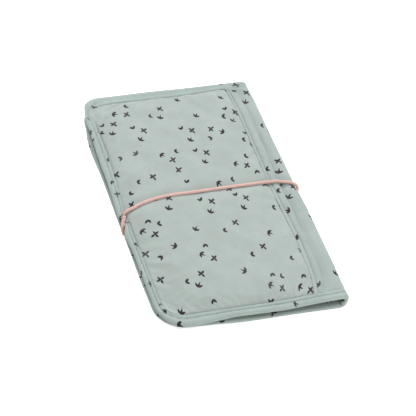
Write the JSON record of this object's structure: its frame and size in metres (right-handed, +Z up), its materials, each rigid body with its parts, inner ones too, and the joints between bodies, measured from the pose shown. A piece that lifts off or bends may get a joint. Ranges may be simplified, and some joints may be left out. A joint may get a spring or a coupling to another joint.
{
  "type": "changing pad",
  "caption": "Folding padded travel changing pad, closed like a book with bound edges, a fold-out mat inside and an elastic cord loop that holds it shut.",
  "frame": {"origin": "centre of the closed pad's underside, on the surface it rests on", "axes": "+Z up; -X to the open fore edge, +X to the folded spine; Y along the spine, away from the fold-out corner with the larger radius"},
  "size_m": [0.1678, 0.27, 0.0194],
  "materials": {
    "printed_outer_fabric": "matt printed woven cotton",
    "binding_tape": "matt bias-cut woven cotton",
    "wipe_clean_lining": "coated, slight sheen",
    "mat_fabric": "coated, slight sheen",
    "pocket_fabric": "matt woven",
    "foam": "open-cell foam, matt",
    "thread": "matt twisted thread",
    "elastic_cord": "matt braided elastic"
  },
  "bodies": {
    "back_cover": {"back_outer_fabric": "printed_outer_fabric", "back_foam": "foam", "back_lining": "wipe_clean_lining", "back_binding": "binding_tape", "back_outer_stitching": "thread", "back_lining_stitching": "thread"},
    "spine": {"spine_outer_fabric": "printed_outer_fabric", "spine_foam": "foam", "spine_lining": "wipe_clean_lining", "spine_binding_top": "binding_tape", "spine_binding_bottom": "binding_tape"},
    "front_cover": {"front_main_fabric": "printed_outer_fabric", "front_seam_band": "binding_tape", "front_spine_strip": "printed_outer_fabric", "front_foam": "foam", "front_lining": "wipe_clean_lining", "front_binding": "binding_tape", "front_outer_stitching": "thread", "front_lining_stitching": "thread", "seam_stitching_panel": "thread", "seam_stitching_strip": "thread", "pocket_panel": "pocket_fabric", "pocket_hem": "binding_tape", "elastic_cord": "elastic_cord", "elastic_bartack": "thread"},
    "mat_inner": {"mat_inner_cover": "mat_fabric", "mat_inner_foam": "foam", "mat_inner_binding_top": "binding_tape", "mat_inner_binding_bottom": "binding_tape", "mat_fold_welt_inner": "binding_tape"},
    "mat_outer": {"mat_outer_cover": "mat_fabric", "mat_outer_foam": "foam", "mat_outer_binding": "binding_tape", "mat_fold_welt_outer": "binding_tape"}
  },
  "joints": [
    {"name": "spine_fold", "type": "hinge", "parent": "back_cover", "child": "spine", "pos_m": [0.0785, 0, 0.0025], "axis": [0, 1, 0], "range_deg": [0, 90]},
    {"name": "cover_fold", "type": "hinge", "parent": "spine", "child": "front_cover", "pos_m": [0.0785, 0, 0.014], "axis": [0, 1, 0], "range_deg": [0, 90], "deforming": ["elastic_cord"]},
    {"name": "mat_inner_fold", "type": "hinge", "parent": "back_cover", "child": "mat_inner", "pos_m": [-0.0715, 0, 0.00639], "axis": [0, 1, 0], "range_deg": [-180, 0]},
    {"name": "mat_outer_fold", "type": "hinge", "parent": "mat_inner", "child": "mat_outer", "pos_m": [-0.0013, 0, 0.00774], "axis": [0, 1, 0], "range_deg": [0, 180]}
  ],
  "couplings": [
    {"joint": "spine_fold", "follows": "cover_fold", "ratio": 1},
    {"joint": "mat_inner_fold", "follows": "cover_fold", "ratio": -2},
    {"joint": "mat_outer_fold", "follows": "cover_fold", "ratio": 2}
  ]
}
